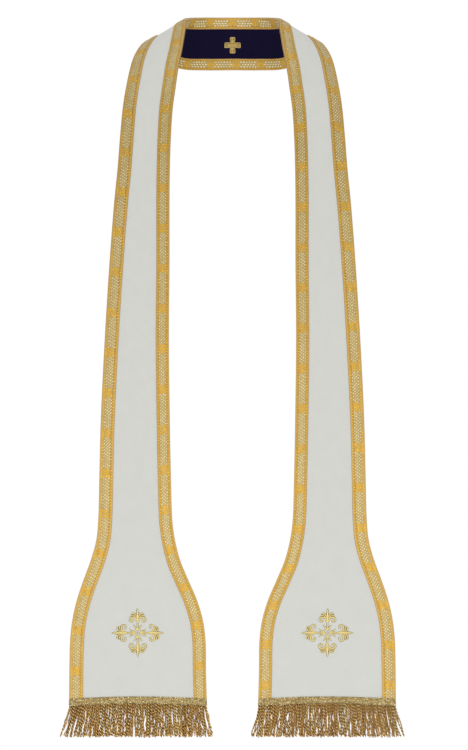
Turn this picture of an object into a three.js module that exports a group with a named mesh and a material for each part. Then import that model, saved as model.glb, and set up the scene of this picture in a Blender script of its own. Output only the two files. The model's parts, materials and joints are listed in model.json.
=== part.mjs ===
// A reversible clerical stole as it is worn: it stands round the back of the neck, turns over both
// shoulders and hangs down the front in two bands with spade ends.
// Millimetres, +Z up, the wearer faces -Y. The origin is on the neck's axis, level with the line
// where the stole turns over the sides of the neck.
import * as THREE from "three";

// Layers. The two panels lie back to back about the middle surface of the strip.
const GAP = 0.3;
const PANEL_THICK = 1.0;
const GALLOON_THICK = 1.0;
const HEADING_THICK = 1.5;
const STITCHING_THICK = 1.0;

const PANEL_LOW = GAP / 2;
const PANEL_HIGH = PANEL_LOW + PANEL_THICK;
const TRIM_LOW = PANEL_HIGH + GAP;
const GALLOON_HIGH = TRIM_LOW + GALLOON_THICK;
const OVER_GALLOON = GALLOON_HIGH + GAP;

// Trims
const GALLOON_WIDE = 20;
const HEADING_TALL = 11;
const HEADING_RAMP = 3; // the heading comes down off the galloon over this width
const FRINGE_LONG = 49;
const FRINGE_THICK = 7;
const FRINGE_FLARE_OUTER = 12; // how far the end strands stray past the band's sides
const FRINGE_FLARE_INNER = 8;
const CROSS_DROP = 1000; // height of the embroidered crosses' centres below the origin
const CROSS_ARM_ACROSS = 40.5;
const CROSS_ARM_ALONG = 39;
const NECK_CROSS_ARM = 13;
const NECK_CROSS_DOWN = 43; // from the top edge of the neck to the small cross's centre

const FIELD_CELLS = 4; // facets across a panel, between its galloons
const HANG_DEPTH = -115; // the bands hang plumb this far in front of the neck's axis

// Cross-sections of one half, from centre back over the shoulder to the chest. inner is the
// neck-side edge and outer the shoulder-side edge, [x, y, z]. bow is how far the middle stands
// proud, rise how far the middle lies up the strip, and steps the facets to the next section.
const NECK = [
  { inner: [0, 62, 9], outer: [0, 76, -77.5], bow: 0, rise: 0, steps: 2 },
  { inner: [30, 59, 8.5], outer: [46, 73, -78], bow: 0, rise: 0, steps: 2 },
  { inner: [56, 46, 6.5], outer: [86, 62, -77], bow: 0, rise: 0, steps: 2 },
  { inner: [70, 26, 3.5], outer: [117, 42, -66], bow: 0, rise: 0, steps: 2 },
  { inner: [75, 9, 0.3], outer: [136.5, 18, -50.5], bow: 0, rise: 0, steps: 1 },
  { inner: [75, 0, -1.7], outer: [146, 0, -43], bow: 0.5, rise: 0, steps: 2 },
  { inner: [76, -16, -13.5], outer: [152.5, -10, -50.5], bow: 1, rise: 0, steps: 2 },
  { inner: [78, -32, -32], outer: [157.5, -20, -59.5], bow: 2, rise: 0, steps: 2 },
  { inner: [81, -50, -56], outer: [163, -35, -72], bow: 3, rise: 0, steps: 2 },
  { inner: [87, -70, -90], outer: [168, -55, -95], bow: 4, rise: 0, steps: 2 },
  { inner: [91, -86, -122], outer: [172.3, -73, -121], bow: 4, rise: 0, steps: 2 },
  { inner: [95.6, -99, -162], outer: [177.4, -91, -160], bow: 4, rise: 0, steps: 2 },
  { inner: [98.2, -109, -211], outer: [181.4, -105, -210], bow: 3, rise: 0, steps: 1 },
  { inner: [99.5, -114, -260], outer: [185, -112, -260], bow: 2, rise: 0, steps: 1 },
];

// The hanging band and its spade end: drop is the height below the origin, inner and outer the
// edges' distances from the plane of symmetry.
const BAND = [
  { drop: 308, inner: 100, outer: 189.7, bow: 2, rise: 0, steps: 1 },
  { drop: 404, inner: 100, outer: 197.2, bow: 2, rise: 0, steps: 1 },
  { drop: 532, inner: 101, outer: 205.2, bow: 2, rise: 0, steps: 1 },
  { drop: 660, inner: 99.5, outer: 211.4, bow: 2, rise: 0, steps: 1 },
  { drop: 756, inner: 97.6, outer: 213.8, bow: 2, rise: 0, steps: 1 },
  { drop: 820, inner: 95.5, outer: 215.5, bow: 1.5, rise: 0, steps: 1 },
  { drop: 852, inner: 91.2, outer: 218.6, bow: 1.5, rise: 0, steps: 1 },
  { drop: 884, inner: 83, outer: 227.4, bow: 1, rise: 0, steps: 1 },
  { drop: 916, inner: 69.8, outer: 239.2, bow: 1, rise: 0, steps: 1 },
  { drop: 948, inner: 56, outer: 249.8, bow: 1, rise: 0, steps: 1 },
  { drop: 980, inner: 46.6, outer: 257, bow: 1, rise: 0, steps: 1 },
  { drop: 1012, inner: 42.4, outer: 260.4, bow: 1, rise: 1, steps: 1 },
  { drop: 1060, inner: 41.6, outer: 261.6, bow: 1, rise: 3, steps: 1 },
  { drop: 1106, inner: 40.4, outer: 262, bow: 1, rise: 4, steps: 1 },
  { drop: 1106 + HEADING_TALL, inner: 40, outer: 262, bow: 1, rise: 4, steps: 1 },
];

// Half of one arm of the cross fleury, from the centre to the tip: out is the share of the arm's
// length, and wide the half width in millimetres.
const FLEURY_ARM = [
  { out: 0.09, wide: 3.6 },
  { out: 0.24, wide: 8.5 },
  { out: 0.32, wide: 8 },
  { out: 0.36, wide: 3.4 },
  { out: 0.5, wide: 4 },
  { out: 0.53, wide: 12 },
  { out: 0.6, wide: 16 },
  { out: 0.7, wide: 16 },
  { out: 0.8, wide: 12 },
  { out: 0.86, wide: 5 },
  { out: 1, wide: 0 },
];

// Half of one arm of the small Greek cross, out and wide as shares of the arm's length.
const GREEK_ARM = [
  { out: 0.27, wide: 0.27 },
  { out: 0.92, wide: 0.315 },
  { out: 1, wide: 0.23 },
];

const WHITE = new THREE.MeshStandardMaterial({ color: 0xdcdcd6, roughness: 0.85, metalness: 0 });
const PURPLE = new THREE.MeshStandardMaterial({ color: 0x1a1433, roughness: 0.85, metalness: 0 });
const GOLD = new THREE.MeshStandardMaterial({ color: 0xc9a457, roughness: 0.5, metalness: 0.3 });
const BULLION = new THREE.MeshStandardMaterial({ color: 0x9c7a45, roughness: 0.5, metalness: 0.3 });

const { lerp } = THREE.MathUtils;
const vector = (values) => new THREE.Vector3(...values);

function hungSection({ drop, inner, outer, bow, rise, steps }) {
  return { inner: [inner, HANG_DEPTH, -drop], outer: [outer, HANG_DEPTH, -drop], bow, rise, steps };
}

function mirrored({ inner: [ix, iy, iz], outer: [ox, oy, oz], ...rest }) {
  return { inner: [-ix, iy, iz], outer: [-ox, oy, oz], ...rest };
}

// Stations from the left hem over the neck to the right hem, evenly spaced between sections.
function stationsOf(half) {
  const last = half.length - 1;
  const left = half
    .slice(1)
    .reverse()
    .map((section, i) => ({ ...mirrored(section), steps: half[last - 1 - i].steps }));
  const whole = [...left, ...half];
  const innerEdge = new THREE.CatmullRomCurve3(whole.map((s) => vector(s.inner)));
  const outerEdge = new THREE.CatmullRomCurve3(whole.map((s) => vector(s.outer)));
  const stations = [];
  whole.forEach((section, i) => {
    const next = whole[i + 1];
    const steps = next ? section.steps : 1;
    for (let k = 0; k < steps; k++) {
      const t = (i + k / steps) / (whole.length - 1);
      const blend = (column) => lerp(section[column], (next ?? section)[column], k / steps);
      stations.push({
        inner: innerEdge.getPoint(t),
        outer: outerEdge.getPoint(t),
        bow: blend("bow"),
        rise: blend("rise"),
      });
    }
  });
  return stations;
}

const SECTIONS = [...NECK, ...BAND.map(hungSection)];
const STATIONS = stationsOf(SECTIONS);
const LAST = STATIONS.length - 1;
const CENTRE = LAST / 2;
const widthAt = (i) => STATIONS[i].inner.distanceTo(STATIONS[i].outer);

// Shares of the width where the panels have their columns: the galloons' edges, and even steps.
function columnsAt(i) {
  const trim = GALLOON_WIDE / widthAt(i);
  const field = Array.from({ length: FIELD_CELLS + 1 }, (_, k) =>
    lerp(trim, 1 - trim, k / FIELD_CELLS),
  );
  return [0, ...field, 1];
}

// Directions at one edge of a station: along the strip, towards the right hem, and out of its
// white face.
function directionsAt(i, edge) {
  const before = STATIONS[Math.max(i - 1, 0)][edge];
  const after = STATIONS[Math.min(i + 1, LAST)][edge];
  const along = after.clone().sub(before).normalize();
  const across = STATIONS[i].outer.clone().sub(STATIONS[i].inner).normalize();
  return { along, out: along.clone().cross(across).normalize() };
}

// The middle surface of the strip, with its outward normal, at each station and column.
const GRID = STATIONS.map((station, i) => {
  const inner = directionsAt(i, "inner");
  const outer = directionsAt(i, "outer");
  const upwards = i < CENTRE ? 1 : -1;
  return columnsAt(i).map((share) => {
    const crown = 4 * share * (1 - share);
    const normal = inner.out.clone().lerp(outer.out, share).normalize();
    const along = inner.along.clone().lerp(outer.along, share).normalize();
    const point = station.inner
      .clone()
      .lerp(station.outer, share)
      .addScaledVector(normal, station.bow * crown)
      .addScaledVector(along, station.rise * crown * upwards);
    return { share, point, normal };
  });
});
const LAST_COLUMN = GRID[0].length - 1;
const lifted = ({ point, normal }, lift) => point.clone().addScaledVector(normal, lift);

// Distance of each station from centre back, along the middle of the strip.
const DISTANCE = GRID.map(() => 0);
const middleOf = (i) => GRID[i][LAST_COLUMN / 2].point;
for (let i = CENTRE + 1; i <= LAST; i++) {
  DISTANCE[i] = DISTANCE[i - 1] + middleOf(i).distanceTo(middleOf(i - 1));
  DISTANCE[LAST - i] = -DISTANCE[i];
}

// A point on the panels' own facets, by its distance from centre back, its share of the width and
// its lift off the middle surface.
function onPanel(distance, share, lift) {
  const [i, t] = cellOf(DISTANCE, distance);
  const columns = GRID[i].map((node, j) => lerp(node.share, GRID[i + 1][j].share, t));
  const [j, s] = cellOf(columns, share);
  const near = lifted(GRID[i][j], lift).lerp(lifted(GRID[i][j + 1], lift), s);
  const far = lifted(GRID[i + 1][j], lift).lerp(lifted(GRID[i + 1][j + 1], lift), s);
  return near.lerp(far, t);
}

// The cell of a rising list of numbers that a value is in, and how far it is through that cell.
function cellOf(edges, value) {
  const i = edges.slice(1, -1).filter((edge) => edge < value).length;
  return [i, (value - edges[i]) / (edges[i + 1] - edges[i])];
}

function meshOf(name, points, faces, material) {
  const geometry = new THREE.BufferGeometry().setFromPoints(points);
  geometry.setIndex(faces.flat());
  geometry.computeVertexNormals();
  const mesh = new THREE.Mesh(geometry, material);
  mesh.name = name;
  return mesh;
}

// A closed wall between two grids of points, low and high, whose rows run along the strip.
function wall(name, low, high, material) {
  const rows = low.length;
  const columns = low[0].length;
  const end = rows - 1;
  const right = columns - 1;
  const points = [...high.flat(), ...low.flat()];
  const top = (i, j) => i * columns + j;
  const bottom = (i, j) => rows * columns + i * columns + j;
  const faces = [];
  const quad = (a, b, c, d) => faces.push([a, b, c], [a, c, d]);
  for (let i = 0; i < rows - 1; i++) {
    for (let j = 0; j < columns - 1; j++) {
      quad(top(i, j), top(i + 1, j), top(i + 1, j + 1), top(i, j + 1));
      faces.push([bottom(i, j), bottom(i + 1, j + 1), bottom(i + 1, j)]);
      faces.push([bottom(i, j), bottom(i, j + 1), bottom(i + 1, j + 1)]);
    }
    quad(top(i, 0), bottom(i, 0), bottom(i + 1, 0), top(i + 1, 0));
    quad(top(i + 1, right), bottom(i + 1, right), bottom(i, right), top(i, right));
  }
  for (let j = 0; j < columns - 1; j++) {
    quad(top(0, j), top(0, j + 1), bottom(0, j + 1), bottom(0, j));
    quad(top(end, j + 1), top(end, j), bottom(end, j), bottom(end, j + 1));
  }
  return meshOf(name, points, faces, material);
}

// A layer of the strip between two lifts, over some of its columns, from hem to hem.
function layer(name, firstColumn, lastColumn, low, high, material) {
  const rows = GRID.map((row) => row.slice(firstColumn, lastColumn + 1));
  const at = (lift) => rows.map((row) => row.map((node) => lifted(node, lift)));
  return wall(name, at(low), at(high), material);
}

// The fringe's woven heading lies across the white face, up over the ends of the galloons.
function heading(name, side) {
  const hem = side > 0 ? LAST : 0;
  const far = DISTANCE[hem];
  const near = far - side * HEADING_TALL;
  const trim = GALLOON_WIDE / widthAt(hem);
  const ramp = HEADING_RAMP / widthAt(hem);
  const field = columnsAt(hem).slice(2, -2);
  const profile = [
    { share: 0, base: OVER_GALLOON },
    { share: trim, base: OVER_GALLOON },
    { share: trim + ramp, base: TRIM_LOW },
    ...field.map((share) => ({ share, base: TRIM_LOW })),
    { share: 1 - trim - ramp, base: TRIM_LOW },
    { share: 1 - trim, base: OVER_GALLOON },
    { share: 1, base: OVER_GALLOON },
  ];
  const ends = side > 0 ? [near, far] : [far, near];
  const rowAt = (d, thick) => profile.map(({ share, base }) => onPanel(d, share, base + thick));
  const at = (thick) => ends.map((d) => rowAt(d, thick));
  return wall(name, at(0), at(HEADING_THICK), GOLD);
}

// The space the hanging strands reach, below the hem.
function fringe(name, side) {
  const hem = side > 0 ? LAST : 0;
  const columns = GRID[hem].map(({ point }) => point);
  const inner = columns[0];
  const outer = columns[LAST_COLUMN];
  const grid = (y) => {
    const upper = columns.map((p) => new THREE.Vector3(p.x, y, p.z - GAP));
    const lower = columns.map((p, j) => {
      const spread = lerp(-FRINGE_FLARE_INNER, FRINGE_FLARE_OUTER, j / LAST_COLUMN);
      return new THREE.Vector3(p.x + side * spread, y, Math.min(inner.z, outer.z) - FRINGE_LONG);
    });
    return side > 0 ? [upper, lower] : [lower, upper];
  };
  const front = HANG_DEPTH - FRINGE_THICK / 2;
  return wall(name, grid(front + FRINGE_THICK), grid(front), BULLION);
}

// A flat shape laid on a panel: its outline is in millimetres, [along, across] from its centre.
function applique(name, distance, share, outline, low, high, material) {
  const [i, t] = cellOf(DISTANCE, distance);
  const width = lerp(widthAt(i), widthAt(i + 1), t);
  const shape = outline.map(([u, v]) => new THREE.Vector2(u, v));
  const at = (lift) => outline.map(([u, v]) => onPanel(distance + u, share + v / width, lift));
  const points = [...at(high), ...at(low)];
  const n = outline.length;
  const faces = THREE.ShapeUtils.triangulateShape(shape, []).flatMap(([a, b, c]) => [
    [a, b, c],
    [a + n, c + n, b + n],
  ]);
  for (let k = 0; k < n; k++) {
    const next = (k + 1) % n;
    faces.push([k, k + n, next + n], [k, next + n, next]);
  }
  return meshOf(name, points, faces, material);
}

// Four arms about a centre, anticlockwise, from half of one arm.
function fourArms(half, alongArm, acrossArm) {
  const near = half.map(({ out, wide }) => ({ out, wide: -wide }));
  const far = half.filter(({ wide }) => wide > 0).reverse();
  const arm = [...near, ...far];
  return [0, 1, 2, 3].flatMap((turn) => {
    const length = turn % 2 ? acrossArm : alongArm;
    const angle = (turn * Math.PI) / 2;
    return arm.map(({ out, wide }) => [
      Math.cos(angle) * out * length - Math.sin(angle) * wide,
      Math.sin(angle) * out * length + Math.cos(angle) * wide,
    ]);
  });
}

// Distance from centre back at which the right band's middle is this far below the origin.
function distanceAtDrop(drop) {
  const i = GRID.findIndex((_, k) => k > CENTRE && middleOf(k).z <= -drop);
  const above = middleOf(i - 1).z;
  return lerp(DISTANCE[i - 1], DISTANCE[i], (above + drop) / (above - middleOf(i).z));
}

function fleuryCross(name, side) {
  const distance = side * distanceAtDrop(CROSS_DROP);
  const outline = fourArms(FLEURY_ARM, CROSS_ARM_ALONG, CROSS_ARM_ACROSS);
  return applique(name, distance, 0.5, outline, TRIM_LOW, TRIM_LOW + STITCHING_THICK, GOLD);
}

function greekCross(name) {
  const half = GREEK_ARM.map(({ out, wide }) => ({ out, wide: wide * NECK_CROSS_ARM }));
  const outline = fourArms(half, NECK_CROSS_ARM, NECK_CROSS_ARM);
  const share = NECK_CROSS_DOWN / widthAt(CENTRE);
  return applique(name, 0, share, outline, -TRIM_LOW - STITCHING_THICK, -TRIM_LOW, GOLD);
}

const stole = new THREE.Group();
stole.add(
  layer("white_panel", 0, LAST_COLUMN, PANEL_LOW, PANEL_HIGH, WHITE),
  layer("purple_panel", 0, LAST_COLUMN, -PANEL_HIGH, -PANEL_LOW, PURPLE),
  layer("white_galloon_inner", 0, 1, TRIM_LOW, GALLOON_HIGH, GOLD),
  layer("white_galloon_outer", LAST_COLUMN - 1, LAST_COLUMN, TRIM_LOW, GALLOON_HIGH, GOLD),
  layer("purple_galloon_inner", 0, 1, -GALLOON_HIGH, -TRIM_LOW, GOLD),
  layer("purple_galloon_outer", LAST_COLUMN - 1, LAST_COLUMN, -GALLOON_HIGH, -TRIM_LOW, GOLD),
  heading("heading_left", -1),
  heading("heading_right", 1),
  fringe("fringe_left", -1),
  fringe("fringe_right", 1),
  fleuryCross("cross_left", -1),
  fleuryCross("cross_right", 1),
  greekCross("neck_cross"),
);

export default stole;
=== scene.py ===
"""The looks of the reversible clerical stole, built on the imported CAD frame.

Sizes are millimetres in the CAD's own axes until a mesh is made, and Blender gets metres. A place
on the stole is (distance, share, lift): distance from centre back along the strip's middle, share
of the width from the neck edge (0) to the shoulder edge (1), and lift out of the white face.
"""

import json
import math

import bpy
import numpy as np
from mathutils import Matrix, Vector

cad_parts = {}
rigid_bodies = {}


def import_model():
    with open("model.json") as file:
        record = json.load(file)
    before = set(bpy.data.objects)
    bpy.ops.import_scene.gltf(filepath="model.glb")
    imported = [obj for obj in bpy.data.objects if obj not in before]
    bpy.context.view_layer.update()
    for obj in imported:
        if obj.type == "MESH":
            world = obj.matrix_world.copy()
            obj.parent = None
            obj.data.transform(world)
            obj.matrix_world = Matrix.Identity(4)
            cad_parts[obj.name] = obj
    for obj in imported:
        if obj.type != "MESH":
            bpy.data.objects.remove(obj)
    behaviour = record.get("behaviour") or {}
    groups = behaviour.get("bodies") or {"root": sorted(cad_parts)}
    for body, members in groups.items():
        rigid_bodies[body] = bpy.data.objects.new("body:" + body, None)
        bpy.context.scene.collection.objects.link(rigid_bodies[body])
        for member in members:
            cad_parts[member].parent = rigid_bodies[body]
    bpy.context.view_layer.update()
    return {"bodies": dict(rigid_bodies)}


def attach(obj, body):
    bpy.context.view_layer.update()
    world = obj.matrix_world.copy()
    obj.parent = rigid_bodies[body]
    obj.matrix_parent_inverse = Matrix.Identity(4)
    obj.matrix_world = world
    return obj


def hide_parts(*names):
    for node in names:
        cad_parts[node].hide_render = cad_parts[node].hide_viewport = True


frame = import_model()
BODY = next(iter(frame["bodies"]))
MM = 0.001

# ---------------- the strip's form, as in the CAD
HANG_DEPTH = -115
HEADING_TALL = 11
HEADING_DROP = 1106  # drops below the neck of the heading's top and of the hem
HEM_DROP = HEADING_DROP + HEADING_TALL
GALLOON_WIDE = 20
FRINGE_LONG = 49
FRINGE_FLARE_OUTER = 12
FRINGE_FLARE_INNER = 8
CROSS_DROP = 1000
CROSS_ARM_ACROSS = 40.5
CROSS_ARM_ALONG = 39
PANEL_LOW = 0.15  # lifts of a cloth's two faces out of the middle between the cloths
PANEL_HIGH = 1.15

# Cross-sections from centre back to the chest: neck-side edge, shoulder-side edge, bow, rise.
NECK = (
    ((0, 62, 9), (0, 76, -77.5), 0, 0),
    ((30, 59, 8.5), (46, 73, -78), 0, 0),
    ((56, 46, 6.5), (86, 62, -77), 0, 0),
    ((70, 26, 3.5), (117, 42, -66), 0, 0),
    ((75, 9, 0.3), (136.5, 18, -50.5), 0, 0),
    ((75, 0, -1.7), (146, 0, -43), 0.5, 0),
    ((76, -16, -13.5), (152.5, -10, -50.5), 1, 0),
    ((78, -32, -32), (157.5, -20, -59.5), 2, 0),
    ((81, -50, -56), (163, -35, -72), 3, 0),
    ((87, -70, -90), (168, -55, -95), 4, 0),
    ((91, -86, -122), (172.3, -73, -121), 4, 0),
    ((95.6, -99, -162), (177.4, -91, -160), 4, 0),
    ((98.2, -109, -211), (181.4, -105, -210), 3, 0),
    ((99.5, -114, -260), (185, -112, -260), 2, 0),
)

# The hanging band and its spade end: drop, neck-side edge, shoulder-side edge, bow, rise.
BAND = (
    (308, 100, 189.7, 2, 0),
    (404, 100, 197.2, 2, 0),
    (532, 101, 205.2, 2, 0),
    (660, 99.5, 211.4, 2, 0),
    (756, 97.6, 213.8, 2, 0),
    (820, 95.5, 215.5, 1.5, 0),
    (852, 91.2, 218.6, 1.5, 0),
    (884, 83, 227.4, 1, 0),
    (916, 69.8, 239.2, 1, 0),
    (948, 56, 249.8, 1, 0),
    (980, 46.6, 257, 1, 0),
    (1012, 42.4, 260.4, 1, 1),
    (1060, 41.6, 261.6, 1, 3),
    (HEADING_DROP, 40.4, 262, 1, 4),
    (HEM_DROP, 40, 262, 1, 4),
)

# Main creases: distance from centre back, share, half length, half width, height out of the face.
CREASES = (
    (205, 0.62, 16, 30, -1.0),
    (262, 0.35, 20, 34, -0.9),
    (300, 0.70, 26, 26, 0.9),
    (352, 0.40, 30, 30, -0.8),
    (430, 0.55, 60, 22, 0.8),
    (560, 0.46, 110, 20, -0.9),
    (775, 0.50, 120, 30, -1.9),
    (905, 0.62, 60, 20, 0.9),
    (1010, 0.30, 60, 18, -0.8),
    (1095, 0.62, 60, 26, -0.9),
    (1145, 0.27, 80, 11, 1.9),
    (1150, 0.39, 70, 12, -1.3),
    (1160, 0.16, 60, 10, -1.0),
    (1200, 0.52, 26, 40, 0.7),
    (1245, 0.80, 40, 12, 1.5),
    (1240, 0.70, 36, 8, -1.3),
    (1246, 0.62, 30, 8, 0.9),
    (1252, 0.55, 30, 8, -1.2),
    (1250, 0.45, 28, 12, 0.8),
    (70, 0.45, 40, 22, 0.6),
    (128, 0.65, 30, 20, -0.7),
)
SWELL = 0.35  # height of the faint swell all along the cloth, and the lengths of its two waves
SWELL_LONG = 173
SWELL_SHORT = 61

ROW_STEP = 2.0
CURVE_STEPS = 24
TUCK = 1.3  # how far the finished edges lie inside the CAD's
TUCK_FROM = 60  # distances from centre back over which the neck edge's tuck grows to the full
TUCK_TO = 140


def lengths(vectors):
    return np.linalg.norm(vectors, axis=-1, keepdims=True)


def unit(vectors):
    return vectors / np.maximum(lengths(vectors), 1e-12)


def smooth_curve(points, steps):
    """The centripetal Catmull-Rom curve through these points, with this many steps a span."""
    points = np.asarray(points, float)
    ends = np.vstack([2 * points[0] - points[1], points, 2 * points[-1] - points[-2]])
    before, start, end, after = ends[:-3], ends[1:-2], ends[2:-1], ends[3:]
    d0, d1, d2 = (np.sqrt(lengths(b - a)) for a, b in ((before, start), (start, end), (end, after)))
    leave = ((start - before) / d0 - (end - before) / (d0 + d1) + (end - start) / d1) * d1
    arrive = ((end - start) / d1 - (after - start) / (d1 + d2) + (after - end) / d2) * d1
    t = np.linspace(0, 1, steps, endpoint=False)[None, :, None]
    leave, arrive, start, end = (v[:, None] for v in (leave, arrive, start, end))
    square = 3 * (end - start) - 2 * leave - arrive
    cube = 2 * (start - end) + leave + arrive
    spans = start + leave * t + square * t**2 + cube * t**3
    return np.vstack([spans.reshape(-1, points.shape[1]), points[-1]])


def running_length(points):
    """Length along a line of points up to each of them."""
    return np.concatenate([[0], np.cumsum(lengths(np.diff(points, axis=0))[:, 0])])


def evenly(line, count):
    """This many even distances along a line, and its points there."""
    length = running_length(line)
    at = np.linspace(0, length[-1], count)
    return at, np.stack([np.interp(at, length, column) for column in line.T], -1)


def in_line(along, across):
    """Spots at these lengths, all this far across."""
    return np.stack([along, np.full(len(along), across)], -1)


def whole_strip():
    """Edges, bow and rise from the left hem over the neck to the right hem, finely stepped."""
    hung = [((i, HANG_DEPTH, -d), (o, HANG_DEPTH, -d), b, r) for d, i, o, b, r in BAND]
    half = [*NECK, *hung]
    mirror = np.array([-1, 1, 1])
    right = np.array([[*inner, *outer, bow, rise] for inner, outer, bow, rise in half], float)
    left = right[:0:-1] * np.concatenate([mirror, mirror, [1, 1]])
    sections = np.vstack([left, right])
    inner = smooth_curve(sections[:, 0:3], CURVE_STEPS)
    outer = smooth_curve(sections[:, 3:6], CURVE_STEPS)
    at = np.linspace(0, len(sections) - 1, len(inner))
    bow, rise = (np.interp(at, np.arange(len(sections)), sections[:, k]) for k in (6, 7))
    return inner, outer, bow, rise


def even_rows():
    """The finished strip on rows an even distance apart: its half length, the rows' distances and
    a table of inner edge, outer edge, ways out and ways along at both, bow and rise."""
    inner, outer, bow, rise = whole_strip()
    middle = running_length((inner + outer) / 2)
    half = middle[-1] / 2
    rows = np.linspace(-half, half, 2 * round(half / ROW_STEP) + 1)
    table = np.column_stack([inner, outer, bow, rise])
    even = np.column_stack([np.interp(rows, middle - half, column) for column in table.T])
    across = unit(even[:, 3:6] - even[:, 0:3])
    begun = np.clip((np.abs(rows) - TUCK_FROM) / (TUCK_TO - TUCK_FROM), 0, 1)[:, None]
    inner = even[:, 0:3] + TUCK * begun * across
    outer = even[:, 3:6] - TUCK * across
    along = [unit(np.gradient(edge, axis=0)) for edge in (inner, outer)]
    out = [unit(np.cross(direction, across)) for direction in along]
    return half, rows, np.column_stack([inner, outer, *out, *along, even[:, 6:8]])


HALF, ROWS, STRIP = even_rows()


def blend(a, b, t):
    return a + (b - a) * t


def at_distance(table, distance):
    """A table's rows at these distances from centre back."""
    place = np.clip((distance + HALF) / (ROWS[1] - ROWS[0]), 0, len(ROWS) - 1.001)
    low = place.astype(int)
    part = place - low
    return blend(table[low], table[low + 1], part[..., None] if table.ndim > 1 else part)


WIDTHS = lengths(STRIP[:, 3:6] - STRIP[:, 0:3])[:, 0]


def drape(distance, share, width):
    """How far the hanging cloth's creases lift it out of the white face."""
    far = np.abs(distance)
    lift = SWELL * np.sin(far * 2 * math.pi / SWELL_LONG + 2.2 * share + 0.8)
    lift += SWELL / 2 * np.sin(far * 2 * math.pi / SWELL_SHORT - 4 * share)
    for centre, middle, half_long, half_wide, height in CREASES:
        away = ((far - centre) / half_long) ** 2 + ((share - middle) * width / half_wide) ** 2
        lift += height * np.exp(-away)
    return lift


def on_strip(distance, share, lift):
    """Points of the strip at these places, in millimetres."""
    distance, share, lift = np.broadcast_arrays(distance, share, lift)
    row = at_distance(STRIP, distance)
    part = share[..., None]
    inner, outer = row[..., 0:3], row[..., 3:6]
    out = unit(blend(row[..., 6:9], row[..., 9:12], part))
    along = unit(blend(row[..., 12:15], row[..., 15:18], part))
    crown = 4 * part * (1 - part)
    upwards = np.where(distance < 0, 1, -1)[..., None]
    width = at_distance(WIDTHS, distance)
    height = row[..., 18:19] * crown + (lift + drape(distance, share, width))[..., None]
    return blend(inner, outer, part) + out * height + along * row[..., 19:20] * crown * upwards


# ---------------- gathering meshes
BAKE_EDGE = 0.03  # share of a cell left free round what is laid out in it
BAKE_REACH = 0.42  # share of a cell from a dome's middle to its rim
DOME_INNER = 0.62  # a dome's inner ring: share of its outline, and of its height
DOME_SHOULDER = 0.72
OVAL_SIDES = 6


class Piece:
    """A mesh gathered from swept skins and small domes, with a tint and two sets of UVs."""

    def __init__(self, name, materials):
        self.name = name
        self.materials = materials
        self.points = []
        self.tints = []
        self.faces = []
        self.count = 0

    def add_points(self, points, tint):
        first = self.count
        points = np.asarray(points).reshape(-1, 3)
        self.points.append(points * MM)
        self.tints.append(np.broadcast_to(tint, (len(points), 3)))
        self.count += len(points)
        return first

    def add_faces(self, corners, weave, bake, material=0, smooth=True):
        """corners is one row a face, and weave and bake hold a UV for each corner."""
        shape = (*corners.shape, 2)
        kept = (corners, np.broadcast_to(weave, shape), np.broadcast_to(bake, shape))
        self.faces.append((*kept, material, smooth))

    def build(self):
        mesh = bpy.data.meshes.new(self.name)
        points = np.concatenate(self.points)
        sizes = np.concatenate([np.full(len(f[0]), f[0].shape[1]) for f in self.faces])
        corners = np.concatenate([f[0].ravel() for f in self.faces])
        mesh.vertices.add(len(points))
        mesh.vertices.foreach_set("co", points.astype(np.float32).ravel())
        mesh.loops.add(len(corners))
        mesh.loops.foreach_set("vertex_index", corners.astype(np.int32))
        mesh.polygons.add(len(sizes))
        starts = np.concatenate([[0], np.cumsum(sizes)[:-1]])
        mesh.polygons.foreach_set("loop_start", starts.astype(np.int32))
        mesh.update(calc_edges=True)
        for key, column in (("weave", 1), ("OFBake", 2)):
            values = np.concatenate([f[column].reshape(-1, 2) for f in self.faces])
            mesh.uv_layers.new(name=key).data.foreach_set("uv", values.astype(np.float32).ravel())
        tint = mesh.color_attributes.new("tint", "FLOAT_COLOR", "POINT")
        colours = np.column_stack([np.concatenate(self.tints), np.ones(len(points))])
        tint.data.foreach_set("color", colours.astype(np.float32).ravel())
        for key, column, kind in (("material_index", 3, np.int32), ("use_smooth", 4, bool)):
            values = np.concatenate([np.full(len(f[0]), f[column], kind) for f in self.faces])
            mesh.polygons.foreach_set(key, values)
        for material in self.materials:
            mesh.materials.append(material)
        mesh.validate()
        thing = bpy.data.objects.new(self.name, mesh)
        bpy.context.scene.collection.objects.link(thing)
        return thing


def placed(piece, node):
    """The piece's mesh, on the stole's one body and in place of its CAD solid."""
    thing = piece.build()
    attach(thing, BODY)
    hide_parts(node)
    return thing


def cell_of(index, count):
    """The square of the bake's layout that item index of count gets: low corner and size."""
    side = math.ceil(math.sqrt(count))
    index = np.asarray(index)
    return np.stack([index % side, index // side], -1) / side, 1 / side


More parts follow.
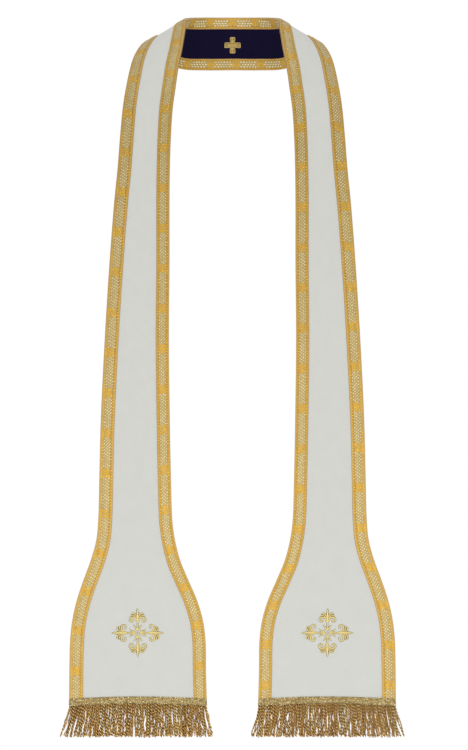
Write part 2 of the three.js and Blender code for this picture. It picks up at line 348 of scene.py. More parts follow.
def sweep(piece, rings, along, around, tint=(1, 1, 1), corner=(0, 0), size=(1, 1), stacks=1):
    """A closed skin over rings[row, k]. Point k of a ring lies across from point -1 - k.

    along is each row's place in the weave, and around each ring point's, with one more to close.
    The bake's layout puts the skin in a box, cut into this many stacked strips.
    """
    rows, ring = rings.shape[:2]
    first = piece.add_points(rings, tint)
    i, k = (grid.ravel() for grid in np.mgrid[0 : rows - 1, 0:ring])
    row = np.stack([i, i + 1, i + 1, i], 1)
    step = np.stack([k, k, k + 1, k + 1], 1)
    weave = np.stack([around[step], along[row]], -1)
    strip_rows = math.ceil((rows - 1) / stacks)
    stack = (i // strip_rows)[:, None]
    reach = (around - around[0]) / (around[-1] - around[0])
    inside = blend(BAKE_EDGE, 1 - BAKE_EDGE, reach[step])
    layout = np.stack([(row - stack * strip_rows) / strip_rows, (stack + inside) / stacks], -1)
    piece.add_faces(first + row * ring + step % ring, weave, corner + layout * size)
    j = np.arange(ring // 2 - 1)
    lid = np.stack([j, j + 1, ring - 2 - j, ring - 1 - j], 1)
    for face, where in ((lid, 0), (lid[:, ::-1], rows - 1)):
        spot = np.stack([around[face], np.full(face.shape, along[where])], -1)
        middle = corner + np.array([0.5, 0.5 / stacks]) * size
        piece.add_faces(first + where * ring + face, spot, middle, smooth=False)


def section_skin(place, section, rows, back, reach, squeeze, flip):
    """Rings and weave of a band with this section: (inwards, upper lift, lower lift).

    The weave of its hidden underside begins at back and is squeezed. flip turns the skin about.
    """
    inwards, upper, lower = np.array(section).T
    turn = np.concatenate([inwards, inwards[::-1]])
    lift = np.concatenate([upper, lower[::-1]])
    rings = place(np.stack(np.broadcast_arrays(rows[:, None], turn), -1), lift)
    around = np.concatenate([inwards, [back], back + (reach - inwards[::-1]) * squeeze])
    return (rings[:, ::-1], around[::-1]) if flip else (rings, around)


def domes(piece, place, centres, outline, base, height, tint, cells, material=0):
    """Small closed domes: outline is (along, across) round each centre, place makes 3-D points.

    cells is (the first cell, how many there are) in the bake's layout.
    """
    count, sides = len(centres), outline.shape[-2]
    rim = place(centres[:, None] + outline, base)
    inner = place(centres[:, None] + DOME_INNER * outline, base + DOME_SHOULDER * height)
    top = place(centres[:, None], base + height)
    points = np.concatenate([rim, inner, top], 1)
    tints = np.repeat(np.broadcast_to(tint, (count, 3)), 2 * sides + 1, axis=0)
    first = piece.add_points(points, tints)
    begin = first + np.arange(count)[:, None, None] * (2 * sides + 1)
    k = np.arange(sides)
    after = (k + 1) % sides
    wall = np.stack([k, after, after + sides, k + sides], 1)
    cap = np.stack([k + sides, after + sides, np.full(sides, 2 * sides)], 1)
    under = k[None, ::-1]
    shape = np.broadcast_to(outline, (count, sides, 2))
    reach = np.abs(shape).max(axis=(1, 2), keepdims=True)
    local = np.concatenate([shape, DOME_INNER * shape, np.zeros((count, 1, 2))], 1)
    low, size = cell_of(cells[0] + np.arange(count), cells[1])
    layout = low[:, None] + size * (0.5 + BAKE_REACH * local / reach)
    weave = centres[:, None] + local
    for faces in (wall, cap, under):
        corners = (begin + faces).reshape(-1, faces.shape[1])
        spots = layout[:, faces].reshape(-1, faces.shape[1], 2)
        threads = weave[:, faces].reshape(-1, faces.shape[1], 2)
        piece.add_faces(corners, threads[..., ::-1], spots, material)


def oval(half_long, half_wide):
    angle = np.arange(OVAL_SIDES) * 2 * math.pi / OVAL_SIDES
    return np.stack([np.cos(angle), np.sin(angle)], -1) * (half_long, half_wide)


# ---------------- materials
class Shader:
    """A node material under a Principled shader, with a few words for common nodes."""

    def __init__(self, name, **sockets):
        self.material = bpy.data.materials.new(name)
        self.material.use_nodes = True
        self.tree = self.material.node_tree
        self.surface = self.tree.nodes["Principled BSDF"]
        for socket, value in sockets.items():
            self.surface.inputs[socket.replace("_", " ")].default_value = value

    def node(self, kind, **settings):
        made = self.tree.nodes.new("ShaderNode" + kind)
        for key, value in settings.items():
            setattr(made, key, value)
        return made

    def join(self, value, socket):
        if isinstance(value, (int, float, tuple)):
            socket.default_value = value
        else:
            self.tree.links.new(value, socket)

    def math(self, operation, *values):
        made = self.node("Math", operation=operation)
        for value, socket in zip(values, made.inputs):
            self.join(value, socket)
        return made.outputs[0]

    def weave(self):
        """The place in the weave in millimetres: as a vector, then across, then along."""
        found = self.node("UVMap", uv_map="weave")
        split = self.node("SeparateXYZ")
        self.join(found.outputs[0], split.inputs[0])
        return found.outputs[0], split.outputs[0], split.outputs[1]

    def ripple(self, coordinate, pitch):
        """A wave from 0 to 1 with this pitch."""
        wave = self.math("SINE", self.math("MULTIPLY", coordinate, 2 * math.pi / pitch))
        return self.math("MULTIPLY_ADD", wave, 0.5, 0.5)

    def noise(self, vector, size, detail=2.0):
        """Noise from 0 to 1 whose patches are about this many millimetres across."""
        made = self.node("TexNoise")
        self.join(vector, made.inputs["Vector"])
        made.inputs["Scale"].default_value = 1 / size
        made.inputs["Detail"].default_value = detail
        return made.outputs[0]

    def ranged(self, value, low, high, new_low, new_high, smooth=False):
        made = self.node("MapRange", interpolation_type="SMOOTHSTEP" if smooth else "LINEAR")
        self.join(value, made.inputs["Value"])
        ends = (("From Min", low), ("From Max", high), ("To Min", new_low), ("To Max", new_high))
        for socket, number in ends:
            made.inputs[socket].default_value = number
        return made.outputs[0]

    def mix(self, factor, first, second, kind="MIX"):
        made = self.node("Mix", data_type="RGBA", blend_type=kind)
        self.join(factor, made.inputs[0])
        for value, socket in ((first, made.inputs[6]), (second, made.inputs[7])):
            self.join((*value, 1.0) if isinstance(value, tuple) else value, socket)
        return made.outputs[2]

    def shade(self, colour, value, low, high):
        """The colour, darkened or lightened by low to high as value goes from 0 to 1."""
        grey = self.node("CombineColor")
        amount = self.ranged(value, 0, 1, low, high)
        for socket in grey.inputs[:3]:
            self.join(amount, socket)
        return self.mix(1.0, colour, grey.outputs[0], "MULTIPLY")

    def finish(self, colour, roughness, height, depth):
        """Sets the colour, the roughness and a bump depth millimetres deep."""
        self.join(colour, self.surface.inputs["Base Color"])
        self.join(roughness, self.surface.inputs["Roughness"])
        bump = self.node("Bump")
        bump.inputs["Strength"].default_value = 1.0
        bump.inputs["Distance"].default_value = depth * MM
        self.join(height, bump.inputs["Height"])
        self.join(bump.outputs[0], self.surface.inputs["Normal"])
        return self.material


def cloth_material(name, colour, rough, sheen, thread, depth, **sockets):
    """A fine plain weave of this thread pitch, with slubs, a soft nap and faint mottling."""
    shader = Shader(name, Sheen_Weight=sheen, Sheen_Roughness=0.45, **sockets)
    place, across, along = shader.weave()
    warp = shader.ripple(across, thread)
    weft = shader.ripple(along, thread * 1.15)
    weave = shader.math("MULTIPLY", warp, weft)
    mottle = shader.noise(place, 26.0, 3.0)
    slub = shader.noise(place, 1.6, 2.0)
    # Painted shade in the weave's hollows: darker where the weave's bump is low.
    tone = shader.shade(colour_of(colour), weave, 0.97, 1.03)
    tone = shader.shade(tone, mottle, 0.965, 1.035)
    tone = shader.shade(tone, slub, 0.96, 1.04)
    height = shader.math("ADD", weave, shader.math("MULTIPLY", slub, 0.8))
    roughness = shader.ranged(weave, 0, 1, rough + 0.06, rough - 0.04)
    return shader.finish(tone, roughness, height, depth)


def colour_of(values):
    """An sRGB colour from 0 to 255 as the shader's linear one."""
    share = np.asarray(values, float) / 255
    linear = np.where(share <= 0.04045, share / 12.92, ((share + 0.055) / 1.055) ** 2.4)
    return tuple(float(v) for v in linear)


def tape_material(name, repeat, node_half, node_at, worn):
    """The galloon's ground: zones across it, a node in each repeat, and its fine threads."""
    shader = Shader(name, Metallic=0.35, Sheen_Weight=0.1)
    place, across, along = shader.weave()
    zones = shader.node("ValToRGB")
    stops = zones.color_ramp.elements
    for position, tone in TAPE_ZONES[1:-1]:
        stops.new(position / GALLOON_WIDE).color = (*colour_of(tone), 1)
    stops[0].color = (*colour_of(TAPE_ZONES[0][1]), 1)
    stops[-1].color = (*colour_of(TAPE_ZONES[-1][1]), 1)
    shader.join(shader.math("DIVIDE", across, float(GALLOON_WIDE)), zones.inputs[0])
    from_node = shader.math("PINGPONG", shader.math("SUBTRACT", along, node_at), repeat / 2)
    node = shader.ranged(from_node, node_half - 1, node_half + 1, 1, 0, True)
    inside = shader.math(
        "MULTIPLY",
        shader.ranged(across, LATTICE_FROM - 0.6, LATTICE_FROM, 0, 1, True),
        shader.ranged(across, LATTICE_TO, LATTICE_TO + 0.6, 1, 0, True),
    )
    in_node = shader.math("MULTIPLY", node, inside)
    tone = shader.mix(in_node, zones.outputs[0], colour_of(NODE_GROUND))
    twill = shader.math("ADD", across, shader.math("MULTIPLY", along, 0.6))
    warp = shader.ripple(twill, 0.9)
    weft = shader.ripple(along, 0.62)
    weave = shader.math("MULTIPLY", warp, weft)
    grain = shader.noise(place, 1.1, 3.0)
    # Painted shade in the weave's hollows: darker where the weave's bump is low.
    tone = shader.shade(tone, weave, 0.94, 1.08)
    tone = shader.shade(tone, grain, 0.92, 1.08)
    from_neck = shader.math("ABSOLUTE", along)
    # Painted shade: the metal is darker towards the neck, fading out lower down.
    tone = shader.shade(tone, shader.ranged(from_neck, *NECK_SHADE_BETWEEN, 0, 1), worn, 1.0)
    height = shader.math("ADD", weave, grain)
    return shader.finish(tone, shader.ranged(grain, 0, 1, 0.42, 0.58), height, 0.04)


def yarn_material(name, metallic, rough, wrap, depth, **sockets):
    """Metal-wrapped yarn in the mesh's own tint, with the wrap's fine turns along it."""
    shader = Shader(name, Metallic=metallic, **sockets)
    place, across, along = shader.weave()
    tint = shader.node("VertexColor", layer_name="tint").outputs[0]
    turns = shader.ripple(shader.math("ADD", along, across), wrap)
    grain = shader.noise(place, 0.8, 2.0)
    # Painted shade between the wrap's turns: darker where the bump is low.
    tone = shader.shade(tint, turns, 0.93, 1.07)
    tone = shader.shade(tone, grain, 0.92, 1.08)
    roughness = shader.ranged(grain, 0, 1, rough - 0.1, rough + 0.12)
    return shader.finish(tone, roughness, shader.math("ADD", turns, grain), depth)


# Colours, as sRGB from 0 to 255
WHITE_CLOTH = (187, 188, 182)
PURPLE_CLOTH = (12, 8, 38)
CREAM = (216, 204, 162)
OLIVE = (156, 127, 52)
TAN = (168, 143, 84)
ORANGE = (232, 176, 4)
DEEP_ORANGE = (208, 148, 4)
NODE_GROUND = (182, 150, 70)
SELVAGE = (184, 148, 80)
THREAD_LINE = (164, 100, 78)
HEADING_LIGHT = (242, 228, 174)
HEADING_DARK = (124, 100, 50)
# The bullion's two plies: the first painted lit, the second painted shaded, each over a range.
BULLION_LIGHT = (255, 232, 152)
BULLION_DARK = (228, 178, 96)
SHADED_PLY_LIGHT = (186, 128, 60)
SHADED_PLY_DARK = (118, 68, 26)
# Satin's own colour on a stroke's crown, then the painted shade at its edges.
SATIN = (224, 204, 132)
SATIN_DARK = (88, 70, 26)
# A painted shadow: the colour of the low stroke that shows between the leaves.
BED_SHADOW = (112, 90, 38)
RIM_GOLD = (206, 180, 112)
# The small cross's fill on the crown, then the painted shade at its strokes' edges.
CROSS_GOLD = (176, 148, 76)
CROSS_SHADE = (150, 122, 58)
CROSS_MARK = (92, 74, 34)

NECK_SHADE_BETWEEN = (320, 950)  # lengths from centre back where the metal's painted neck shade fades out
LATTICE_FROM = 4.7  # where the lattice lies, in from the rim at the stole's edge
LATTICE_TO = 15.3
TAPE_ZONES = (  # in from the rim at the stole's edge, and the ground's colour there
    (0.0, SELVAGE),
    (1.5, SELVAGE),
    (1.9, OLIVE),
    (4.3, OLIVE),
    (4.9, TAN),
    (15.1, TAN),
    (15.7, OLIVE),
    (18.1, OLIVE),
    (18.4, SELVAGE),
    (20.0, SELVAGE),
)

white_cloth = cloth_material("white_cloth", WHITE_CLOTH, 0.86, 0.08, 0.55, 0.06)
purple_cloth = cloth_material(
    "purple_cloth", PURPLE_CLOTH, 0.9, 0.0, 0.55, 0.06, Specular_IOR_Level=0.12
)
galloon_yarn = yarn_material("galloon_yarn", 0.3, 0.5, 0.5, 0.02)
stitch_yarn = yarn_material("stitch_yarn", 0.0, 0.7, 0.4, 0.04)
bullion_yarn = yarn_material("bullion_yarn", 0.4, 0.45, 0.42, 0.03)
satin_yarn = yarn_material("satin_yarn", 0.3, 0.36, 0.45, 0.03)


# ---------------- the two cloth panels
PANEL_ROWS = 361
PANEL_COLUMNS = 26
FIELD_FROM = 1.2  # in from the edge, where the flat of a cloth begins
NOSE = ((0.06, 0.32), (0.35, 0.06))  # how an edge rounds over: in from the edge, below the face


def panel(name, node, face, material):
    """One cloth, hem to hem, as a thin closed skin with rounded edges. face is 1 or -1."""
    distance = np.linspace(-HALF, HALF, PANEL_ROWS)
    width = np.interp(distance, ROWS, WIDTHS)[:, None]
    near = np.array([edge for edge, _ in NOSE])
    field = np.linspace(FIELD_FROM, width[:, 0] - FIELD_FROM, PANEL_COLUMNS, axis=-1)
    across = np.hstack([np.tile(near, (PANEL_ROWS, 1)), field, width - near[::-1]])
    drops = [below for _, below in NOSE]
    sunk = np.array([*drops, *[0] * PANEL_COLUMNS, *drops[::-1]])
    lift = np.concatenate([PANEL_HIGH - sunk, PANEL_LOW + sunk])
    both = np.hstack([across, across[:, ::-1]])
    rings = on_strip(distance[:, None], both / width, face * lift)
    count = across.shape[1]
    face_weave = np.linspace(0, 200, count)
    hidden_weave = np.linspace(201, 212, count + 1)
    around = np.concatenate([face_weave, hidden_weave])
    if face < 0:
        rings = rings[:, ::-1]
        around = around[-1] - around[::-1]
    piece = Piece(name, [material])
    sweep(piece, rings, distance + HALF, around, stacks=3)
    return placed(piece, node)


# ---------------- the galloons
TAPE_ROWS = 391
# The tape's section: in from the stole's edge, upper lift, lower lift. Its rim curls over the edge.
TAPE_SECTION = (
    (-0.55, 0.45, 0.42),
    (-0.6, 1.4, 0.8),
    (-0.35, 2.05, 1.25),
    (0.3, 2.35, 1.35),
    (1.0, 2.38, 1.3),
    (1.4, 2.2, 1.25),
    (4.9, 2.2, 1.25),
    (5.6, 2.38, 1.25),
    (10, 2.5, 1.25),
    (14.2, 2.38, 1.25),
    (14.9, 2.2, 1.25),
    (17.7, 2.2, 1.25),
    (18.2, 2.3, 1.25),
    (19.4, 2.2, 1.22),
    (20, 1.7, 1.2),
)
TAPE_BACK = 20.4  # where the weave of the tape's underside begins, and how it is squeezed
BACK_SQUEEZE = 0.08
TOOTH_BASE = 2.1  # lifts of the teeth, of the lattice and nodes, and of the holding stitches
LATTICE_FACE = 2.43
STITCH_BASE = 1.12
TOOTH_IN = 3.2  # in from each rim to the middle of its teeth
STITCH_IN = 20.15  # in from the stole's edge to the line of holding stitches
STITCH_PITCH = 3.4
TOOTH = ((-0.26, -1.1), (0, -1.4), (0.26, -1.1), (0.26, 0.5), (0, 1.4), (-0.26, 0.5))


class Tape:
    """One galloon: which edge it borders, which face it is on and its own lengthwise measure."""

    def __init__(self, outer, face, wide):
        self.outer = outer
        self.face = face
        edge = STRIP[:, 15:18] if outer else STRIP[:, 12:15]
        across = unit(STRIP[:, 3:6] - STRIP[:, 0:3])
        slope = lengths(np.cross(edge, across))[:, 0]
        self.scale = wide / GALLOON_WIDE / slope
        middle = self.scale * GALLOON_WIDE / 2 / WIDTHS
        share = 1 - middle if outer else middle
        line = running_length(on_strip(ROWS, share, 0.0))
        self.measure = line - line[-1] / 2
        self.half = line[-1] / 2

    def place(self, spots, lift):
        """Points for spots (length from centre back, in from the stole's edge)."""
        distance = np.interp(spots[..., 0], self.measure, ROWS)
        inwards = spots[..., 1] * np.interp(distance, ROWS, self.scale / WIDTHS)
        share = 1 - inwards if self.outer else inwards
        return on_strip(distance, share, lift * self.face)

    def turned(self, outline):
        """An outline of a dome, the way round that faces it out."""
        return outline if self.outer == (self.face < 0) else outline[..., ::-1, :]


def tape_ground(name, tape, material):
    length = np.linspace(-tape.half, tape.half, TAPE_ROWS)
    flip = tape.outer == (tape.face > 0)
    weave = (TAPE_BACK, GALLOON_WIDE, BACK_SQUEEZE)
    rings, around = section_skin(tape.place, TAPE_SECTION, length, *weave, flip)
    piece = Piece(name, [material])
    sweep(piece, rings, length, around, stacks=12)
    return piece.build()


def mixed(rng, first, second, count, spread=0.12):
    """Colours between two sRGB ones, each a little lighter or darker."""
    part = rng.random((count, 1))
    tone = blend(np.array(colour_of(first)), np.array(colour_of(second)), part)
    return tone * rng.uniform(1 - spread, 1 + spread, (count, 1))


def lattice_spots(tape, repeat, node_half, node_at, pitch, rows, shift):
    """Centres of the lattice's floats, in rows across, each row shifted on from the one before."""
    steps = np.arange(-tape.half + pitch, tape.half - pitch, pitch)
    spots = np.concatenate([in_line(steps + shift * k, across) for k, across in enumerate(rows)])
    phase = (spots[:, 0] - node_at + repeat / 2) % repeat - repeat / 2
    return spots[np.abs(phase) > node_half + 0.4]


def slanted(outline, angle):
    """An outline turned this many degrees from the tape's length."""
    cosine, sine = math.cos(math.radians(angle)), math.sin(math.radians(angle))
    return outline @ np.array([[cosine, sine], [-sine, cosine]])


def node_places(tape, repeat, node_at):
    first = math.ceil((-tape.half - node_at + repeat / 4) / repeat)
    last = math.floor((tape.half - node_at - repeat / 4) / repeat)
    return node_at + np.arange(first, last + 1) * repeat


def tape_floats(name, tape, style, seed):
    """The raised yarns of a galloon: lattice, teeth, nodes and the stitches that hold it."""
    rng = np.random.default_rng(seed)
    repeat, node_half, node_at, pitch, tooth = style["repeat"], *style["node"], *style["pitches"]
    rows = np.linspace(LATTICE_FROM + 1.1, LATTICE_TO - 1.1, style["rows"])
    slant = style["slant"]
    shift = style["shift"] * (1 if tape.outer else -1)
    lattice = lattice_spots(tape, repeat, node_half, node_at, pitch, rows, shift)
    lattice_float = slanted(oval(*style["float"]), slant if tape.outer else -slant)

    teeth_at = np.arange(-tape.half + tooth, tape.half - tooth, tooth)
    borders = []
    for across, sign in ((TOOTH_IN, 1), (GALLOON_WIDE - TOOTH_IN, -1)):
        outline = np.array(TOOTH) * (tooth, sign)
        borders.append((in_line(teeth_at, across), outline if sign > 0 else outline[::-1]))

    nodes = node_places(tape, repeat, node_at)
    middle = GALLOON_WIDE / 2
    dots = [in_line(nodes + along, middle + across) for along, across in style["dots"]]
    dots = np.concatenate(dots)
    stitches = in_line(np.arange(-tape.half + 2, tape.half - 2, STITCH_PITCH), STITCH_IN)

    total = len(lattice) + sum(len(c) for c, _ in borders) + len(dots) + len(stitches)
    piece = Piece(name, [galloon_yarn, stitch_yarn])
    done = 0

    def add(centres, outline, base, height, tint, material=0):
        nonlocal done
        facing = tape.turned(outline)
        # Painted shade: the floats are darker towards the neck, as the ground is.
        tint = tint * np.interp(np.abs(centres[:, :1]), NECK_SHADE_BETWEEN, (style["worn"], 1.0))
        domes(piece, tape.place, centres, facing, base, height, tint, (done, total), material)
        done += len(centres)

    tint = mixed(rng, CREAM, style["lattice_shade"], len(lattice))
    add(lattice, lattice_float, LATTICE_FACE, 0.4, tint)
    for centres, outline in borders:
        tint = mixed(rng, ORANGE, DEEP_ORANGE, len(centres))
        add(centres, outline, TOOTH_BASE, 0.5, tint)
    tint = mixed(rng, ORANGE, DEEP_ORANGE, len(dots))
    add(dots, oval(*style["dot"]), LATTICE_FACE, 0.4, tint)
    tint = mixed(rng, THREAD_LINE, SELVAGE, len(stitches))
    add(stitches, oval(1.35, 0.22), STITCH_BASE, 0.3, tint, 1)
    return piece.build()


# A node's dots: along from its middle, and across from the tape's middle
SLANTED_DOTS = ((-4.8, 0), (-0.6, -2.7), (0.6, 2.7), (4.8, 0), (-4.6, 4.2), (4.6, -4.2))
BAR_OF_DOTS = ((0, -3.6), (0, -1.2), (0, 1.2), (0, 3.6), (-5.2, 0), (5.2, 0))
# How each face's braid is woven. pitches: the lattice's and the teeth's. slant: the floats' turn
# in degrees. shift: how far a row lies along from the one before. One more number sets the
# metal's brightness at the neck: a painted shade.
WHITE_STYLE = {
    "pitches": (5.0, 4.6),
    "rows": 4,
    "slant": 38,
    "shift": 3.2,
    "float": (2.2, 0.95),
    "dots": SLANTED_DOTS,
    "dot": (1.9, 1.5),
    "worn": 0.82,
    "lattice_shade": (206, 188, 130),
}
PURPLE_STYLE = {
    "pitches": (4.8, 4.6),
    "rows": 3,
    "slant": 0,
    "shift": 2.4,
    "float": (2.1, 1.6),
    "dots": BAR_OF_DOTS,
    "dot": (1.6, 1.4),
    "worn": 1.0,
    "lattice_shade": (222, 207, 162),
}
FIRST_NODE_UP = 33.0  # from the hem to the first node of the white face's braid


def galloon(name, outer, face, style, wide, repeat, node_half, node_at, seed):
    """Both meshes of a galloon. node_at of None puts the first node FIRST_NODE_UP from the hem."""
    tape = Tape(outer, face, wide)
    if node_at is None:
        node_at = tape.half - FIRST_NODE_UP
    style = {**style, "repeat": repeat, "node": (node_half, node_at)}
    ground_material = tape_material(name + "_tape", repeat, node_half, node_at, style["worn"])
    ground = tape_ground(name + "_tape", tape, ground_material)
    floats = tape_floats(name + "_floats", tape, style, seed)
    for thing in (ground, floats):
        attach(thing, BODY)
    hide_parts(name)
    return [ground, floats]


# ---------------- fringe and its heading
PLY_RADIUS = 0.7
CORE_RADIUS = 0.64  # from a cord's middle to the middle of each of its two plies
TURN = 5.0
SEGMENTS_A_TURN = 5
STRANDS = 220
STRAND_ROWS = (-2.2, 0.8, -0.7, 2.2)  # how far behind the hem each row of cords hangs
UNEVEN = 2.4  # spread of the cords' lengths
BOW_SPREAD = 0.9  # spreads of a cord's bow, of its tip's lean and of its waves
LEAN_SPREAD = 2.1
WAVE_SPREAD = 0.9
DEPTH_SPREAD = 0.7
FLARE_KEPT = 0.9  # share of the CAD's flare, and how much more the last cords have
END_FLARE = 0.5
REACH = (31, 278)  # the cords' middles stay between these x, and this near the hem in depth
REACH_DEPTH = 3.4
LOOSENESS = (0, 0, 0.5, 1.1)  # how far tips untwist: one of these for each cord
LOOSE_FROM = 0.86


def tube_rings(line, outwards, radius, sides=4):
    """Rings of points round a line, the first of each on its outward side."""
    tangent = unit(np.gradient(line, axis=0))
    up = unit(outwards - tangent * (outwards * tangent).sum(-1, keepdims=True))
    side = np.cross(up, tangent)
    angle = (np.arange(sides) + 0.5) * 2 * math.pi / sides
    ring = np.cos(angle)[:, None] * up[:, None] + np.sin(angle)[:, None] * side[:, None]
    return line[:, None] + radius * ring


def strand_line(rng, side, share, depth):
    """The middle of one hanging strand, from the hem down."""
    top = on_strip(side * HALF, share, 0.0) + np.array([0, depth + rng.uniform(-0.4, 0.4), -0.4])
    length = top[2] + HEM_DROP + FRINGE_LONG - abs(rng.normal(0, UNEVEN))
    steps = round(length / TURN * SEGMENTS_A_TURN)
    t = np.linspace(0, 1, steps)
    flare = blend(-FRINGE_FLARE_INNER, FRINGE_FLARE_OUTER, share) * FLARE_KEPT
    from_middle = abs(2 * share - 1)
    flare *= from_middle**0.4 * (1 + END_FLARE * np.clip((from_middle - 0.94) / 0.06, 0, 1))
    bend = rng.normal(0, BOW_SPREAD) * np.sin(math.pi * t) + rng.normal(0, LEAN_SPREAD) * t**2
    across = side * flare * t**1.2 + bend
    wave = np.sin(2 * math.pi * t * rng.uniform(1.2, 2.6) + rng.uniform(0, 6))
    across += rng.normal(0, WAVE_SPREAD) * wave * np.minimum(1, 2.5 * t)
    depthwise = rng.normal(0, DEPTH_SPREAD) * t**1.5
    x = np.clip(top[0] + across, *sorted(side * reach for reach in REACH))
    y = np.clip(top[1] + depthwise, HANG_DEPTH - REACH_DEPTH, HANG_DEPTH + REACH_DEPTH)
    return np.stack([x, y, top[2] - length * t], -1), t


def strand_rings(rng, line, t):
    """One cord doubled and twisted on itself: down one ply, round the tip and up the other."""
    angle = rng.uniform(0, 2 * math.pi) + np.arange(len(t)) * 2 * math.pi / SEGMENTS_A_TURN
    near_tip = np.clip((t - LOOSE_FROM) / (1 - LOOSE_FROM), 0, 1)
    opening = 1 + rng.choice(LOOSENESS) * near_tip**1.5
    core = CORE_RADIUS * opening[:, None]
    radial = np.stack([np.cos(angle), np.sin(angle), np.zeros(len(t))], -1)
    down, up = line + core * radial, (line - core * radial)[::-1]
    bend = np.linspace(0, math.pi, 5)[1:-1, None]
    turn_out = np.cos(bend) * radial[-1] + np.sin(bend) * np.array([0, 0, -1.0])
    turn = line[-1] + core[-1] * turn_out
    path = np.vstack([down, turn, up])
    return tube_rings(path, np.vstack([radial, turn_out, -radial[::-1]]), PLY_RADIUS)


def fringe(name, side, node, seed):
    """The bullion fringe of one end: rows of cords, one ply painted lit and the other shaded."""
    rng = np.random.default_rng(seed)
    piece = Piece(name, [bullion_yarn])
    around = np.arange(5) * PLY_RADIUS * math.pi / 2
    for k in range(STRANDS):
        share = (k + 0.5 + rng.uniform(-0.3, 0.3)) / STRANDS
        line, t = strand_line(rng, side, share, STRAND_ROWS[k % len(STRAND_ROWS)])
        rings = strand_rings(rng, line, t)
        bright = mixed(rng, BULLION_LIGHT, BULLION_DARK, 1)
        shaded = mixed(rng, SHADED_PLY_LIGHT, SHADED_PLY_DARK, 1)
        # Painted light: the first ply of each cord in lit colours, the second in shaded ones.
        first_ply = (np.arange(len(rings)) < len(rings) // 2)[:, None, None]
        tone = np.where(first_ply, bright, shaded)
        # Painted shade on each ply's side that faces the core between the plies.
        core_side_shade = np.array([1.0, 0.35, 0.35, 1.0])[None, :, None]
        tint = (tone * core_side_shade).reshape(-1, 3)
        along = running_length(rings.mean(axis=1))
        sweep(piece, rings, along, around, tint, (0, k / STRANDS), (1, 1 / STRANDS))
    return placed(piece, node)


HEADING_COLUMNS = 112
LOOP_PITCH = 2.9
LOOP_LINES = 5
LOOP_LINE_PITCH = 2.4
LOOP_JITTER = 0.28
HEADING_SECTION = (  # down from the heading's top, upper lift, lower lift
    (-0.3, 0.4, 0.1),
    (0.2, 1.1, 0.0),
    (1.5, 1.25, 0.0),
    (3.6, 1.1, 0.0),
    (6.5, 1.3, 0.0),
    (9.0, 1.1, 0.0),
    (10.6, 1.2, 0.0),
    (11.3, 0.6, 0.1),
)
HEADING_WEAVE = (12, 12, 0.1)  # where its underside's weave begins and ends, and its squeeze
ON_CLOTH = 1.2  # lifts of the heading's underside over the cloth and over the galloons
ON_GALLOON = 2.6


def heading(name, side, node, seed):
    """The woven heading: a thin band over the cloth and the galloons' ends, covered in loops."""
    rng = np.random.default_rng(seed)
    width = WIDTHS[-1]

    def place(spots, lift):
        """Points for spots (across from the neck edge, down from the heading's top)."""
        share = spots[..., 0] / width
        from_edge = np.minimum(spots[..., 0], width - spots[..., 0])
        climb = np.clip((GALLOON_WIDE + 5 - from_edge) / 3, 0, 1)
        base = blend(ON_CLOTH, ON_GALLOON, climb)
        distance = side * (HALF - HEADING_TALL + spots[..., 1])
        return on_strip(distance, share, base + lift)

    across = np.linspace(-0.4, width + 0.4, HEADING_COLUMNS)
    rings, around = section_skin(place, HEADING_SECTION, across, *HEADING_WEAVE, side > 0)
    piece = Piece(name, [bullion_yarn])
    ground = np.array(colour_of(HEADING_DARK))
    sweep(piece, rings, across, around, ground, (0, 0), (1, 0.3), stacks=2)

    columns = np.arange(0.6, width - 0.4, LOOP_PITCH)
    centres = []
    for k in range(LOOP_LINES):
        offset = columns + (LOOP_PITCH / 2 if k % 2 else 0)
        jitter = rng.normal(0, LOOP_JITTER, (len(columns), 2))
        centres.append(in_line(offset, 0.7 + k * LOOP_LINE_PITCH) + jitter)
    centres = np.concatenate(centres)
    outline = oval(1.35, 1.0)
    tilt = np.where((np.arange(len(centres)) // len(columns)) % 2, 0.5, -0.5)[:, None]
    outlines = np.broadcast_to(outline, (len(centres), *outline.shape)).copy()
    outlines[..., 1] += outlines[..., 0] * tilt
    if side < 0:
        outlines = outlines[:, ::-1]
    tint = mixed(rng, HEADING_LIGHT, HEADING_DARK, len(centres), 0.25)
    domes(piece, place, centres, outlines, 0.9, 0.8, tint, (0, len(centres)))
    return placed(piece, node)


# ---------------- embroidery
STITCH = 0.88  # length of a stroke that one rib of thread takes
SATIN_COLUMNS = 7
SATIN_HIGH = 1.0
SATIN_BASE = 1.05
BED_HIGH = 0.35
STROKE_STEPS = 12
FULLNESS = 1.25  # how much wider the thread swells than the strokes below
